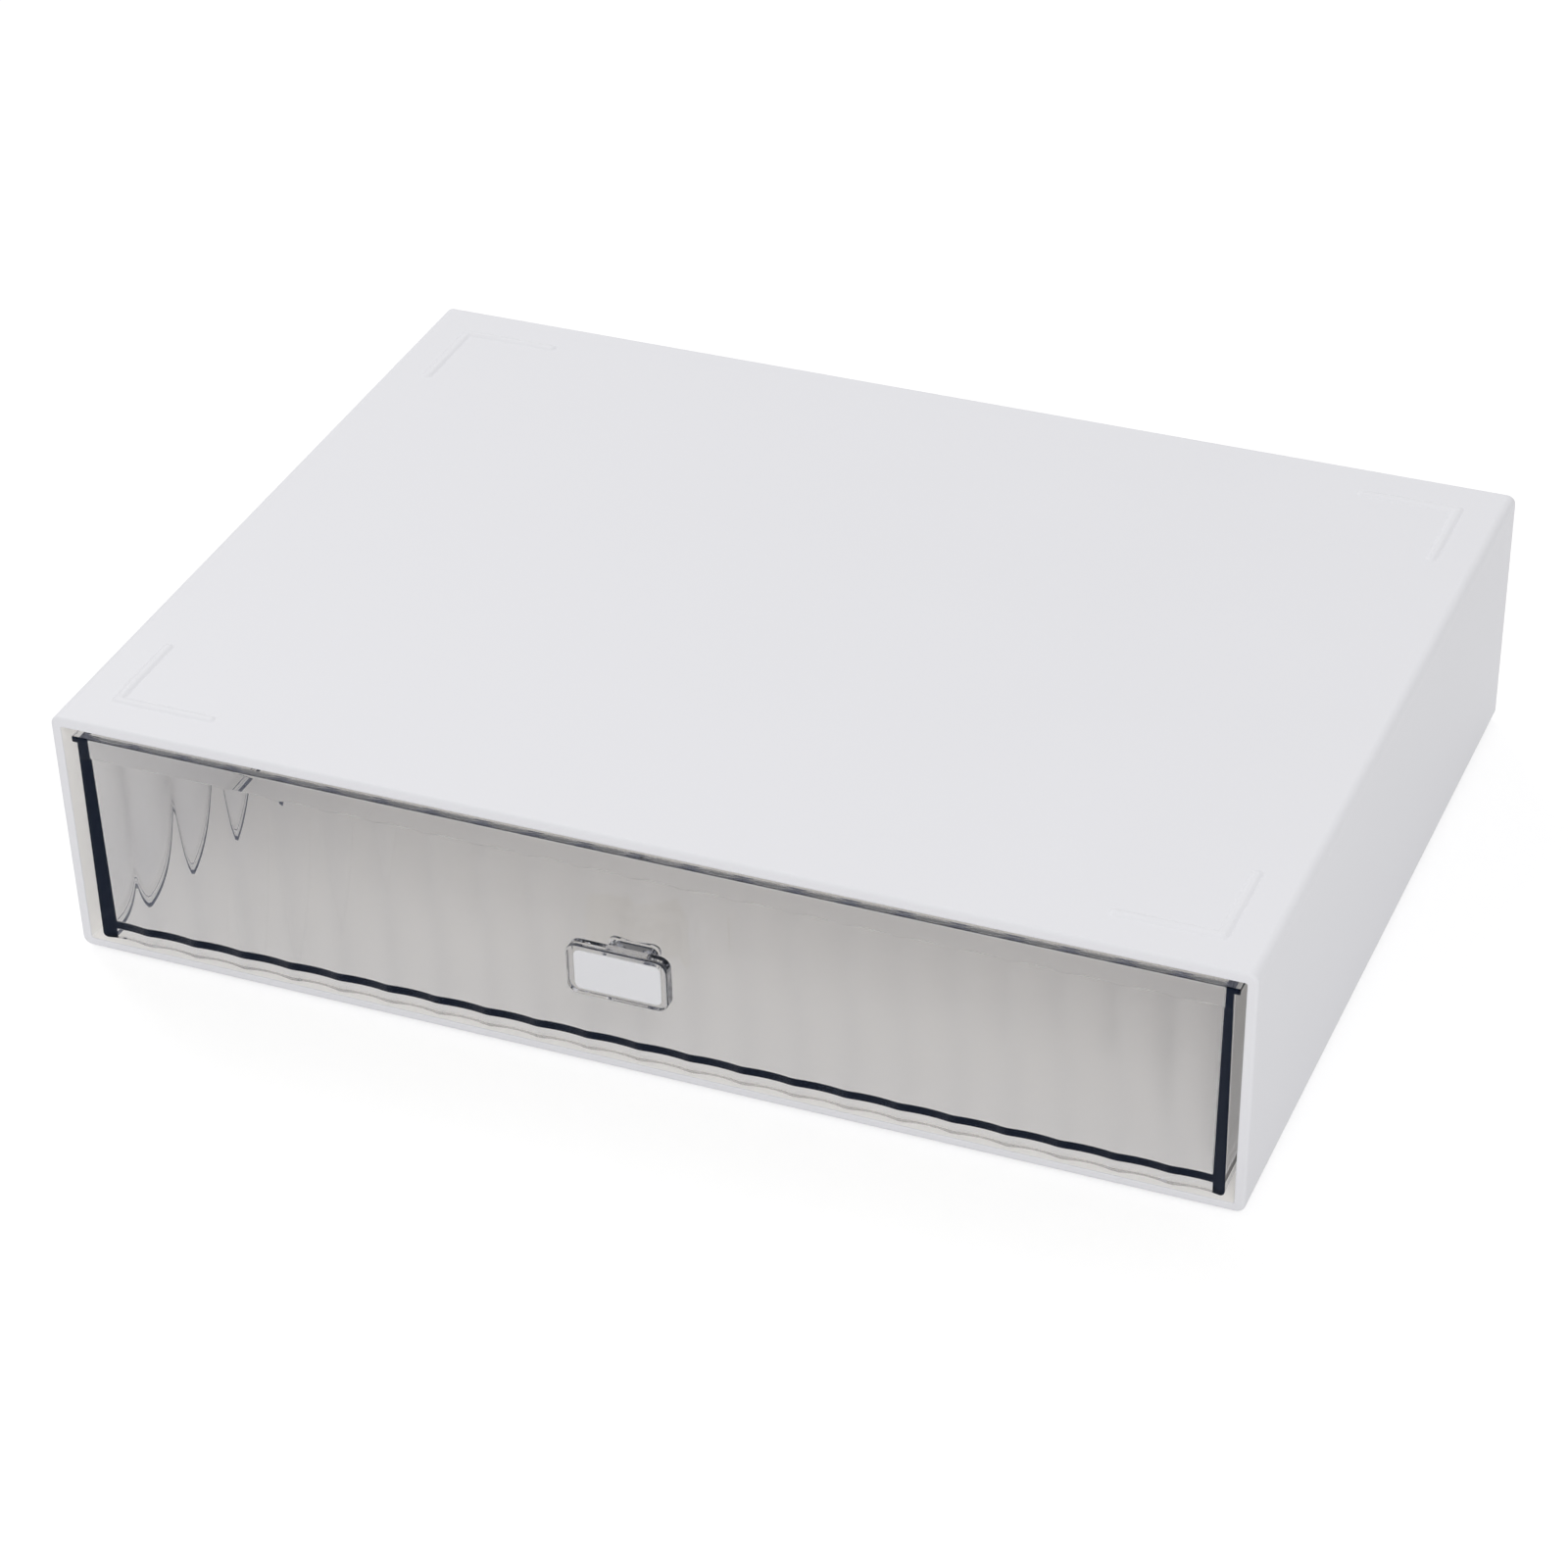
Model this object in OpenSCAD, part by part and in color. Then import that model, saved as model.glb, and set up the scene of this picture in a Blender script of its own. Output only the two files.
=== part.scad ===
// Stackable drawer box: a moulded white sleeve, a clear drawer and a small label pull.
// Millimetres. +Z is up and the drawer opens towards -Y.
// The origin is the middle of the case's underside.

/* [Case] */
// Width of the case across its top
case_w = 320; // [240:1:400]
// Depth of the case from its front rim to its back
case_d = 233; // [180:1:320]
// Height of the case from its underside to its flat top
case_h = 71; // [60:1:140]
// Thickness of the case's side walls
side_wall = 2.8; // [2:0.1:4]
// Thickness of the case's roof
roof_wall = 2.8; // [2:0.1:4]
// Thickness of the case's floor
floor_wall = 2.5; // [2:0.1:4]
// Thickness of the case's back wall
back_wall = 2.8; // [2:0.1:4]
// How far each side leans inwards from the top to the underside
side_draft = 1.2; // [0:0.1:2]
// Radius of the case's four long edges
edge_r = 2.5; // [1:0.1:4]

/* [Drawer] */
// Setback of the drawer's front behind the case's rim
front_setback = 1.5; // [0:0.1:5]
// Gap between the drawer's back and the case's back wall
rear_gap = 1.2; // [0.5:0.1:10]
// Gap between the drawer's side walls and the case, at the drawer's rim
side_gap = 3.5; // [2.5:0.1:6]
// Gap between the drawer's rim and the case's roof
rim_gap = 3.2; // [3.2:0.1:8]
// Running gap between the drawer's runners and the case's floor
slide_gap = 0.15; // [0.1:0.05:0.5]
// Thickness of the drawer's front panel
panel_t = 2.4; // [1.8:0.1:4]
// Thickness of the drawer's side walls at the rim
wall_t = 2.2; // [1.6:0.1:3]
// Extra thickness of the side walls where they meet the floor
wall_taper = 1.1; // [0:0.1:2]
// Thickness of the drawer's back wall
tray_back_t = 2.2; // [1.6:0.1:4]
// Thickness of the drawer's floor
tray_floor_t = 2.2; // [1.6:0.1:4]
// How far each of the drawer's sides leans inwards from the rim to the runners
tray_draft = 0.4; // [0:0.1:1]
// Height of the side runners below the drawer's floor
runner_h = 2.4; // [2:0.1:8]
// Radius of the runners' outer bottom edges
runner_r = 1.5; // [0.5:0.1:1.6]
// Overhang of the rim flange outside the side walls
flange_out = 1.6; // [0.8:0.1:2.2]
// Thickness of the rim flange
flange_t = 1.8; // [1:0.1:3]

/* [Drawer front] */
// Number of shallow upright flutes side by side in the drawer's front
flute_n = 22; // [8:1:40]
// Depth of each flute
flute_depth = 0.9; // [0.3:0.1:1]
// How far the sharp ridges between the flutes stay behind the plain band
flute_setback = 0.05; // [0.05:0.05:0.2]
// Height of the plain band above the flutes
plain_band = 5.8; // [2:0.1:10]
// Width of the flat seat behind the pull
seat_w = 14; // [13:0.2:40]
// Height of the flat seat behind the pull
seat_h = 7.2; // [6.4:0.2:20]
// Corner radius of the flat seat
seat_r = 2; // [1:0.1:3]

/* [Drawer stops] */
// Distance of the roof stops from the case's rim to their front
stop_setback = 40; // [20:1:80]
// Distance of each stop from the middle of the case
stop_x = 60; // [20:1:90]
// Width of each stop and of each tab that meets it
stop_w = 20; // [8:1:40]
// Length of each roof stop, front to back
stop_l = 6; // [3:0.5:12]
// Overlap of a roof stop with the tab on the drawer's back
stop_catch = 1.2; // [0.5:0.1:1.5]
// Gap between the drawer's tabs and the roof
tab_gap = 1.2; // [0.6:0.1:1.6]

/* [Pull] */
// Width of the pull's plate
pull_w = 27.2; // [22:0.2:60]
// Height of the pull's plate
pull_h = 14.8; // [12:0.2:30]
// Thickness of the pull's plate
pull_t = 3.2; // [2.6:0.1:6]
// Corner radius of the pull's plate
pull_r = 3; // [1:0.1:5]
// Distance from the drawer's front to the face of the pull
pull_reach = 11; // [8:0.5:20]
// Height of the pull's middle above the middle of the drawer front
pull_lift = 2.2; // [0:0.1:8]
// Width of the pull's stem
stem_w = 12.8; // [12.8:0.2:20]
// Height of the pull's stem
stem_h = 6; // [5.8:0.2:10]
// Diameter of the two pins that hold the pull
pin_d = 3.2; // [3:0.1:3.8]
// Distance between the two pins
pin_pitch = 8; // [7:0.5:10]
// Distance of the pins below the middle of the stem
pin_drop = 1; // [0:0.1:1.2]
// Play of each pin in its hole, all round
pin_play = 0.05; // [0.02:0.01:0.1]
// Overhang of each pin's snap head behind the panel
snap_out = 0.2; // [0.1:0.05:0.5]
// Length of each snap head
snap_l = 1.2; // [1:0.1:4]

/* [Label] */
// Width of the label card
label_w = 23.2; // [16:0.2:54]
// Height of the label card
label_h = 11.4; // [7:0.1:24]
// Thickness of the label card
label_t = 0.4; // [0.2:0.05:0.5]
// Corner radius of the label card
label_r = 1.6; // [0.5:0.1:3]
// Thickness of the clear wall in front of the card
label_cover = 0.9; // [0.6:0.1:1.2]
// Gap between the card and each face of its slot
label_gap = 0.15; // [0.1:0.05:0.3]
// Gap between the card and each side of its slot
label_side_gap = 0.3; // [0.2:0.05:0.6]
// Thickness of the pull below the card
label_sill = 1.3; // [1:0.1:3]

/* [Stacking] */
// Distance of the L-shaped ridges from the edges of the case
ridge_inset = 11; // [8:0.5:20]
// Length of each leg of a ridge
ridge_leg = 30; // [15:1:60]
// Width of a ridge
ridge_w = 3.5; // [2:0.1:6]
// Height of a ridge above the roof
ridge_h = 0.5; // [0.3:0.1:0.8]
// Diameter of a foot pad
pad_d = 12; // [8:0.5:18]
// Thickness of a foot pad
pad_t = 1.8; // [1.6:0.1:2.2]
// How far a foot pad stands out of the case's underside
pad_proud = 1; // [0.9:0.1:1.4]
// Gap round a foot pad in its recess
pad_gap = 0.2; // [0.1:0.05:0.5]
// Gap between a foot pad and the ridges of the box below
pad_play = 0.5; // [0.2:0.1:2]

/* [Hidden] */
$fn = 64;
over = 1; // how far a cutting shape runs past the face it opens

white = [0.9, 0.9, 0.92];
clear = [0.72, 0.76, 0.82, 0.45];
paper = [0.97, 0.97, 0.97];
rubber = [0.8, 0.8, 0.82];

front_y = -case_d / 2;
back_y = case_d / 2;
roof_z = case_h - roof_wall;

// Half width of the inside of the case at height z
function inner_half(z) = case_w / 2 - side_draft * (case_h - z) / case_h - side_wall;

// The drawer's levels, depths and half widths
tray_bottom_z = floor_wall + slide_gap;
tray_floor_z = tray_bottom_z + runner_h;
tray_inside_z = tray_floor_z + tray_floor_t;
rim_z = roof_z - rim_gap;
tray_front_y = front_y + front_setback;
tray_back_y = back_y - back_wall - rear_gap;
inside_front_y = tray_front_y + panel_t;
inside_back_y = tray_back_y - tray_back_t;
rim_half = inner_half(rim_z) - side_gap;
runner_half = rim_half - tray_draft;
runner_t = wall_t + wall_taper;
// Half width of the outside of the drawer at height z
function tray_half(z) = rim_half - tray_draft * (rim_z - z) / (rim_z - tray_bottom_z);
// Half width of the inside of the drawer where it meets the floor
inside_low_half = tray_half(tray_inside_z) - runner_t;
inside_rim_half = rim_half - wall_t;

// The pull's planes: its middle height, face, plate back and the card's slot
pull_z = (tray_bottom_z + rim_z) / 2 + pull_lift;
pull_face_y = tray_front_y - pull_reach;
plate_back_y = pull_face_y + pull_t;
slot_front_y = pull_face_y + label_cover;
slot_back_y = slot_front_y + label_t + 2 * label_gap;
pull_foot_z = pull_z - pull_h / 2;
card_foot_z = pull_foot_z + label_sill;
slot_half = label_w / 2 + label_side_gap;
pin_reach_y = tray_front_y + panel_t;
pin_z = pull_z - pin_drop;

// Distance of a foot pad's middle from the edges of the case, inside the ridges of the box below
pad_inset = ridge_inset + ridge_w + pad_play + pad_d / 2;

// Sweeps a drawing of the XZ plane from y0 to y1
module along_y(y0, y1) {
    translate([0, y1, 0])
        rotate([90, 0, 0])
            linear_extrude(y1 - y0)
                children();
}

// A rectangle centred on the Z axis with its corners rounded
module rounded_plate(w, h, r) {
    square([w - 2 * r, h], center = true);
    square([w, h - 2 * r], center = true);
    for (sx = [-1, 1])
        for (sz = [-1, 1])
            translate([sx * (w / 2 - r), sz * (h / 2 - r)])
                circle(r);
}

// The outline of the case: sides that lean by side_draft, and four rounded corners
module case_outline() {
    lean = atan(side_draft / case_h);
    top_x = case_w / 2 - side_draft * edge_r / case_h - edge_r / cos(lean);
    low_x = case_w / 2 - side_draft * (case_h - edge_r) / case_h - edge_r / cos(lean);
    side = [edge_r * cos(lean), -edge_r * sin(lean)];
    right = [
        [low_x, 0],
        [low_x, edge_r] + side,
        [top_x, case_h - edge_r] + side,
        [top_x, case_h]
    ];
    left = [for (i = [3:-1:0]) [-right[i][0], right[i][1]]];
    polygon(concat(right, left));
    for (sx = [-1, 1]) {
        translate([sx * top_x, case_h - edge_r])
            circle(edge_r);
        translate([sx * low_x, edge_r])
            circle(edge_r);
    }
}

// One L-shaped ridge with its outer corner at the origin and its legs along -X and -Y
module l_ridge(leg, w, h) {
    for (turn = [0, 1])
        mirror([turn, -turn, 0]) {
            translate([-leg + w / 2, -w, 0])
                cube([leg - w, w, h]);
            translate([-leg + w / 2, -w / 2, 0])
                cylinder(d = w, h = h);
        }
    translate([-w / 2, -w / 2, 0])
        cylinder(d = w, h = h);
}

// The four L-shaped ridges near the corners of the roof
module ridges() {
    for (mx = [0, 1])
        for (my = [0, 1])
            mirror([mx, 0, 0])
                mirror([0, my, 0])
                    translate([case_w / 2 - ridge_inset, case_d / 2 - ridge_inset, case_h - over])
                        l_ridge(ridge_leg, ridge_w, ridge_h + over);
}

// A round disc at one corner of the underside
module corner_disc(sx, sy, d, z0, z1) {
    translate([sx * (case_w / 2 - pad_inset), sy * (case_d / 2 - pad_inset), z0])
        cylinder(d = d, h = z1 - z0);
}

// The wedge under the roof that the drawer's tab clicks past and then rests against
module roof_stop() {
    depth = tab_gap + stop_catch;
    y0 = front_y + stop_setback;
    translate([-stop_w / 2, 0, 0])
        rotate([90, 0, 90])
            linear_extrude(stop_w)
                polygon([
                    [y0, roof_z + over],
                    [y0, roof_z],
                    [y0 + stop_l / 2, roof_z - depth],
                    [y0 + stop_l, roof_z - depth],
                    [y0 + stop_l, roof_z + over]
                ]);
}

module case() {
    low_half = inner_half(floor_wall);
    top_half = inner_half(roof_z);
    color(white) {
        difference() {
            union() {
                along_y(front_y, back_y)
                    case_outline();
                ridges();
            }
            along_y(front_y - over, back_y - back_wall)
                polygon([
                    [-low_half, floor_wall], [low_half, floor_wall],
                    [top_half, roof_z], [-top_half, roof_z]
                ]);
            for (sx = [-1, 1])
                for (sy = [-1, 1])
                    corner_disc(sx, sy, pad_d + 2 * pad_gap, -over, pad_t - pad_proud);
        }
        for (sx = [-1, 1])
            translate([sx * stop_x, 0, 0])
                roof_stop();
    }
}

module foot_pad(sx, sy) {
    color(rubber)
        corner_disc(sx, sy, pad_d, -pad_proud, pad_t - pad_proud);
}

// The outline of the drawer: leaning sides with rounded runner edges
module tray_outline() {
    x = runner_half - runner_r;
    polygon([
        [-x, tray_bottom_z], [x, tray_bottom_z],
        [tray_half(tray_bottom_z + runner_r), tray_bottom_z + runner_r], [rim_half, rim_z],
        [-rim_half, rim_z], [-tray_half(tray_bottom_z + runner_r), tray_bottom_z + runner_r]
    ]);
    for (sx = [-1, 1])
        translate([sx * x, tray_bottom_z + runner_r])
            circle(runner_r);
}

module drawer() {
    flange_half = rim_half + flange_out;
    pocket_half = runner_half - runner_t;
    color(clear)
        difference() {
            union() {
                along_y(tray_front_y, tray_back_y)
                    tray_outline();
                translate([-flange_half, tray_front_y, rim_z - flange_t])
                    cube([2 * flange_half, tray_back_y - tray_front_y, flange_t]);
                for (sx = [-1, 1])
                    translate([sx * stop_x - stop_w / 2, inside_back_y, rim_z - over])
                        cube([stop_w, tray_back_t, rim_gap - tab_gap + over]);
            }
            along_y(inside_front_y, inside_back_y)
                polygon([
                    [-inside_low_half, tray_inside_z], [inside_low_half, tray_inside_z],
                    [inside_rim_half, rim_z], [inside_rim_half, rim_z + over],
                    [-inside_rim_half, rim_z + over], [-inside_rim_half, rim_z]
                ]);
            translate([-pocket_half, inside_front_y, tray_bottom_z - over])
                cube([2 * pocket_half, inside_back_y - inside_front_y, runner_h + over]);
            pull_pins(pin_d / 2 + pin_play, tray_front_y - over, inside_front_y + over);
            flutes();
        }
}

// What is cut out of the drawer's front: flutes side by side, but not at the pull's seat
module flutes() {
    pitch = 2 * rim_half / flute_n;
    arch_h = flute_depth - flute_setback;
    flute_r = pow(pitch, 2) / (8 * arch_h) + arch_h / 2;
    z0 = tray_bottom_z - over;
    h = rim_z - plain_band - z0;
    difference() {
        for (i = [0:flute_n - 1])
            translate([(i + 0.5) * pitch - rim_half, tray_front_y, z0])
                intersection() {
                    translate([0, flute_depth - flute_r, 0])
                        cylinder(r = flute_r, h = h);
                    translate([-pitch / 2 - over, -over, 0])
                        cube([pitch + 2 * over, flute_depth + 2 * over, h]);
                }
        along_y(tray_front_y - 2 * over, inside_front_y)
            translate([0, pull_z])
                rounded_plate(seat_w, seat_h, seat_r);
    }
}

// The two pins of the pull, or their holes, from y0 to y1
module pull_pins(r, y0, y1) {
    for (sx = [-1, 1])
        translate([sx * pin_pitch / 2, y1, pin_z])
            rotate([90, 0, 0])
                cylinder(r = r, h = y1 - y0);
}

module pull() {
    stem_r = stem_h / 4;
    head_y = pin_reach_y + pin_play;
    color(clear)
        difference() {
            union() {
                along_y(pull_face_y, plate_back_y)
                    translate([0, pull_z])
                        rounded_plate(pull_w, pull_h, pull_r);
                along_y(plate_back_y, tray_front_y)
                    translate([0, pull_z])
                        rounded_plate(stem_w, stem_h, stem_r);
                pull_pins(pin_d / 2, tray_front_y, head_y + snap_l);
                for (sx = [-1, 1])
                    translate([sx * pin_pitch / 2, head_y, pin_z])
                        rotate([-90, 0, 0])
                            cylinder(r1 = pin_d / 2 + snap_out, r2 = pin_d / 2, h = snap_l);
            }
            translate([-slot_half, slot_front_y, card_foot_z])
                cube([2 * slot_half, slot_back_y - slot_front_y, pull_h]);
        }
}

module label_card() {
    y0 = slot_front_y + label_gap;
    color(paper)
        along_y(y0, y0 + label_t)
            translate([0, card_foot_z + label_h / 2 + label_gap])
                rounded_plate(label_w, label_h, label_r);
}

case();
drawer();
pull();
label_card();
foot_pad(-1, -1);  // foot_pad_front_left
foot_pad(1, -1);  // foot_pad_front_right
foot_pad(-1, 1);  // foot_pad_rear_left
foot_pad(1, 1);  // foot_pad_rear_right
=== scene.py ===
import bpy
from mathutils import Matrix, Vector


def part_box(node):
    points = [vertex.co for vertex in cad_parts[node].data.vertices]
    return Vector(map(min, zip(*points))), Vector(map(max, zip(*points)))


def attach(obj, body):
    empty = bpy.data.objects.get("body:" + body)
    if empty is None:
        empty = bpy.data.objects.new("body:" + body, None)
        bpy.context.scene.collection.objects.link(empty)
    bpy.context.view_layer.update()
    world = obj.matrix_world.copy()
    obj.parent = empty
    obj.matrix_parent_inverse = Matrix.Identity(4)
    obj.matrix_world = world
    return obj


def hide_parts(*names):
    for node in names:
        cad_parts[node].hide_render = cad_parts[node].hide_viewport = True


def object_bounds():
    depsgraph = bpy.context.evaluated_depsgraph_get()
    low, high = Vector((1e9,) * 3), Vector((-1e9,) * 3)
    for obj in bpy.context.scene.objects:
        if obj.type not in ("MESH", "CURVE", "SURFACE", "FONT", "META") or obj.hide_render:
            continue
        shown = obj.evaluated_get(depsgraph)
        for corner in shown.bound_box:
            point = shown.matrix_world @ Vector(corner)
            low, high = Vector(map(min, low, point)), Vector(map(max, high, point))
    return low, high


bl_info = {
    "name": "Stackable drawer box",
    "version": (1, 0, 0),
    "blender": (4, 5, 0),
    "location": "3D View > Sidebar > Drawer Box",
    "description": "Models a white desktop drawer box with a clear drawer and a label pull",
    "category": "Add Mesh",
}

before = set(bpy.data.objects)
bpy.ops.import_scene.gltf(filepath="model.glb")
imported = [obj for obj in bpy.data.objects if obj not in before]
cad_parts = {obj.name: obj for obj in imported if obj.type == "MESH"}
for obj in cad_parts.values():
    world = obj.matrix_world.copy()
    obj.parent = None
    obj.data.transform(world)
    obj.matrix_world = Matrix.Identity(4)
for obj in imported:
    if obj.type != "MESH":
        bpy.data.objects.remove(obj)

import math

import bmesh
import bpy
from bpy.props import FloatProperty, FloatVectorProperty, IntProperty, PointerProperty
from mathutils import Vector

# The box of the whole model and of each moulding, as the frame gives them
CAD_BOX = [list(corner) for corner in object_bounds()]
CASE_LOW, CASE_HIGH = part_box("case")
TRAY_LOW, TRAY_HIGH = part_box("drawer")
PULL_LOW, PULL_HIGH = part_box("pull")
CARD_LOW, CARD_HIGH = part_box("label_card")
PAD_NODES = ("foot_pad_front_left", "foot_pad_front_right", "foot_pad_rear_left", "foot_pad_rear_right")

NEAR = 1e-5  # two places closer than this are the same place
SKIN = 1e-4  # a place closer than this to the inner face of a wall counts as inside the sleeve
MERGE = 1e-7  # corners of a finished piece closer than this become one
PAST = 0.001  # how far a cutting block runs past the face it opens
PARALLEL = 0.99  # two directions whose cosine is above this are the same
STEEP = 0.9  # an edge whose rise is above this share of its length stands upright
SOFT_ANGLE = math.radians(32)  # edges that turn less than this are shaded as one surface

X, Y, Z = range(3)  # places of the axes in a vector
UP = Vector((0, 0, 1))
DOWN = Vector((0, 0, -1))
FRONT = Vector((0, -1, 0))
SIDES = (-1, 1)  # left and right

# A stacking ridge: the radius of its outer corners as a share of its width, and the steps of its
# rounded top as shares of its width and of its height
RIDGE_CORNER = 0.46
RIDGE_STEPS = ((0.10, 0.24), (0.10, 0.34), (0.10, 0.27), (0.10, 0.15))
# A pad's flat border and the slope into its dish, as shares of its radius
PAD_BORDER = 0.18
PAD_SLOPE = 0.05

WHITE = (1.0, 1.0, 1.0, 1.0)
BLACK = (0.0, 0.0, 0.0, 1.0)
NOISE_MIDDLE = 0.5  # what a noise texture gives on average
DRIFT_PER_METRE = 18.0  # scale of the slow drift in shade and gloss
SPECK_SHARE = 0.6  # how strongly the shade follows the grain, next to the slow drift
CASE_IOR = 1.49  # refractive index of the white plastic
CLEAR_IOR = 1.59  # refractive index of polystyrene
SCUFFS_PER_METRE = 90.0  # scale of the patches that are worn a little dull
SCUFF_ROUGHNESS = 0.05  # roughness of the dullest patch
SINKS_PER_METRE = 40.0  # scale of the soft waves of moulded plastic
SINK_DEPTH = 0.00004  # height of those waves
FLOOR_SIZE = 8.0  # side of the square floor
FLOOR_MATT = 0.5  # share of the lamps' light that the floor shows
FLOOR_GLOW = 0.62  # the floor's own light, which brings it to white outside the shadow

# Place and size of each lamp, and place and turn in degrees of the camera
FRONT_LAMP = ((0.75, -1.60, 1.45), 1.2)
TOP_LAMP = ((-2.6, 2.4, 3.6), 2.4)
CAMERA_PLACE = (0.39242, -0.93907, 0.70049)
CAMERA_TURN = (55.9842, 1.3271, 22.1746)
SENSOR_WIDTH = 36.0
SPARE_BOUNCES = 8  # clear faces that a lamp's ray may pass, beyond the other bounces


def length(name, description, default):
    """A size in metres that a user can change."""
    return FloatProperty(
        name=name, description=description, default=default, min=0.0, unit="LENGTH", precision=5
    )


def amount(name, description, default):
    """A plain number that a user can change."""
    return FloatProperty(name=name, description=description, default=default, precision=4)


def power(name, description, default):
    """The power of a lamp, in watts."""
    return FloatProperty(name=name, description=description, default=default, unit="POWER")


def count(name, description, default):
    """A whole number that a user can change."""
    return IntProperty(name=name, description=description, default=default, min=1)


def tint(name, description, default):
    """A colour that a user can change."""
    return FloatVectorProperty(
        name=name, description=description, default=default, size=3, min=0.0, max=1.0, subtype="COLOR"
    )


class CaseLook(bpy.types.PropertyGroup):
    """Sizes and colours of the white sleeve."""

    side_wall: length("Side wall", "Thickness of the side walls", 0.0028)
    roof_wall: length("Roof", "Thickness of the roof", 0.0028)
    floor_wall: length("Floor", "Thickness of the floor", 0.0025)
    back_wall: length("Back wall", "Thickness of the back wall", 0.0028)
    lean: length("Lean", "How far each side leans inwards towards the underside", 0.0012)
    edge_round: length("Long edges", "Radius of the four long edges", 0.0025)
    rim_round: length("Front rim", "Radius of the outer edge of the front rim", 0.0010)
    back_round: length("Back edges", "Radius of the edges round the back", 0.0008)
    lip_round: length("Inner lip", "Radius of the inner edge of the front rim", 0.0004)
    corner_round: length("Inner corners", "Radius of the corners inside the sleeve", 0.0006)
    ridge_height: length("Ridge height", "Height of the L-shaped ridges above the roof", 0.0005)
    ridge_inset: length("Ridge inset", "Distance of the ridges from the edges of the roof", 0.011)
    ridge_leg: length("Ridge leg", "Length of each leg of a ridge", 0.030)
    ridge_width: length("Ridge width", "Width of a ridge at its foot", 0.0035)
    stop_front: length("Stop setback", "Distance of the roof stops behind the rim", 0.040)
    stop_side: length("Stop offset", "Distance of each stop from the middle", 0.060)
    stop_width: length("Stop width", "Width of each stop", 0.020)
    stop_length: length("Stop length", "Length of each roof stop", 0.006)
    stop_depth: length("Stop depth", "How far each stop hangs below the roof", 0.0024)
    stop_round: length("Stop edges", "Radius of each stop's lower edges", 0.0003)
    outside: tint("Outside", "Colour of the outer faces", (0.80, 0.80, 0.83))
    # Painted light: the inside faces get a lighter, warmer copy of the white, for the light inside the
    # sleeve
    inside: tint("Inside", "Colour of the faces inside the sleeve", (0.92, 0.905, 0.88))
    # Painted glow: the inside faces glow a little, in place of the light through the thin walls
    painted_glow_strength: amount("Shine through", "Light that the thin white walls let into the sleeve", 0.072)
    grain: length("Grain size", "Size of the moulded grain", 0.0006)


class DrawerLook(bpy.types.PropertyGroup):
    """Sizes and finish of the clear drawer."""

    panel: length("Front panel", "Thickness of the front panel", 0.0024)
    wall: length("Side wall", "Thickness of the side walls at the rim", 0.0022)
    wall_foot: length("Side wall foot", "Thickness of the side walls at the floor", 0.0033)
    back: length("Back wall", "Thickness of the back wall", 0.0022)
    floor: length("Floor", "Thickness of the floor", 0.0022)
    runner: length("Runner", "Height of the runners below the floor", 0.0024)
    runner_round: length("Runner edge", "Radius of the runners' outer edges", 0.0015)
    rim: length("Rim height", "Height of the drawer's rim above the case's underside", 0.0650)
    lean: length("Lean", "How far each side leans inwards towards the runners", 0.0004)
    flange: length("Rim flange", "Thickness of the rim flange", 0.0018)
    flange_out: length("Flange overhang", "Overhang of the rim flange outside the walls", 0.0016)
    edge_round: length("Outer edges", "Radius of the small outer edges", 0.0004)
    inner_round: length("Inner corners", "Radius of the corners inside the drawer", 0.0004)
    tab_side: length("Tab offset", "Distance of each tab on the back from the middle", 0.060)
    tab_width: length("Tab width", "Width of each tab on the back", 0.020)
    flutes: count("Flutes", "Number of upright flutes in the front", 22)
    flute_depth: length("Flute depth", "Depth of each flute in the front", 0.0009)
    flute_ridge: length("Flute ridge", "Half width of the rounded ridge between two flutes", 0.0016)
    flute_setback: length("Flute setback", "How far the ridges stay behind the plain band", 0.00005)
    flute_end: length("Flute ends", "Radius where the flutes run out under the plain band", 0.0006)
    plain_band: length("Plain band", "Height of the plain band above the flutes", 0.0058)
    seat_width: length("Seat width", "Width of the flat seat of the pull", 0.014)
    seat_height: length("Seat height", "Height of the flat seat of the pull", 0.0072)
    seat_corner: length("Seat corners", "Radius of the seat's corners", 0.002)
    glow: tint("Clear colour", "Colour that deep plastic lets through", (0.42, 0.44, 0.52))
    depth: amount("Absorption", "How fast deep plastic takes light away, per metre", 42.0)
    # Painted shade: the faces' mirrors are tinted dark navy, so that the edges where light runs deep in
    # the plastic look dark
    painted_mirror_shade: tint("Mirror tint", "Tint of what the faces mirror", (0.10, 0.17, 0.36))


class PullLook(bpy.types.PropertyGroup):
    """Sizes of the small clear pull."""

    plate: length("Plate", "Thickness of the plate", 0.0032)
    corner: length("Corners", "Radius of the plate's corners", 0.003)
    edge_round: length("Plate edges", "Radius of the plate's edges", 0.0005)
    stem_width: length("Stem width", "Width of the stem", 0.0128)
    stem_height: length("Stem height", "Height of the stem", 0.006)
    stem_corner: length("Stem corners", "Radius of the stem's corners", 0.0015)
    pin: length("Pin radius", "Radius of the two pins", 0.0016)
    pin_side: length("Pin offset", "Distance of each pin from the middle", 0.004)
    pin_drop: length("Pin drop", "Distance of the pins below the middle of the stem", 0.001)
    head: length("Head radius", "Radius of the pins' heads", 0.0018)
    head_length: length("Head length", "Length of the pins' heads", 0.0012)
    play: length("Pin play", "Play of each pin in its hole", 0.00005)
    slot_gap: length("Slot gap", "Gap between the card and each face of its slot", 0.00015)
    slot_side_gap: length("Slot side gap", "Gap between the card and each side of its slot", 0.0003)


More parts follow.
